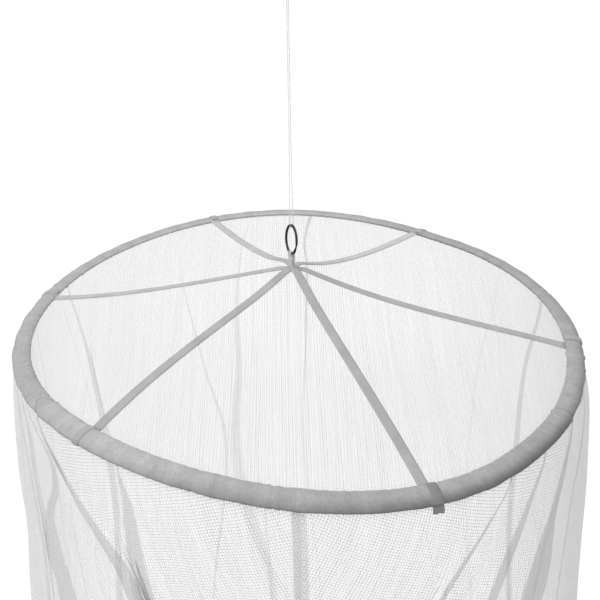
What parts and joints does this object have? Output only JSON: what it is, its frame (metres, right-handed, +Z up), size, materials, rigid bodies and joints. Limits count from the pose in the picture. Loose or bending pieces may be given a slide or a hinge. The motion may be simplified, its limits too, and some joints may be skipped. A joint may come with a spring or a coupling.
{
  "type": "mosquito net canopy with its hoop",
  "caption": "Hanging mosquito net canopy: a long net wall and net roof on a sleeved round spring-wire hoop, carried by crossing tapes, a steel ring and a looped clear line.",
  "frame": {"origin": "inside top of the hanging line's knotted eye, where a ceiling hook holds it", "axes": "+Z up along the hanging line, +X to the right and -Y towards the front of the hoop"},
  "size_m": [1.2576, 1.2482, 2.6958],
  "materials": {
    "net": "fine white polyester net, sheer",
    "sleeve_cloth": "matt white woven cloth",
    "tape": "matt white woven tape",
    "spring_steel": "satin spring wire",
    "dark_steel": "dark polished split ring",
    "clear_line": "clear nylon line"
  },
  "bodies": {
    "root": {"hoop": "spring_steel", "hoop_sleeve": "sleeve_cloth", "roof_net": "net", "wall_net": "net", "roof_tape_side": "tape", "roof_tape_left_front": "tape", "roof_tape_right_front": "tape", "tape_turn_right": "tape", "tape_turn_back_right": "tape", "tape_turn_back_left": "tape", "tape_turn_left": "tape", "tape_turn_left_front": "tape", "tape_turn_right_front": "tape", "crown_ring": "dark_steel", "crown_loop": "tape", "hanging_line": "clear_line", "line_knot": "clear_line"}
  },
  "joints": []
}
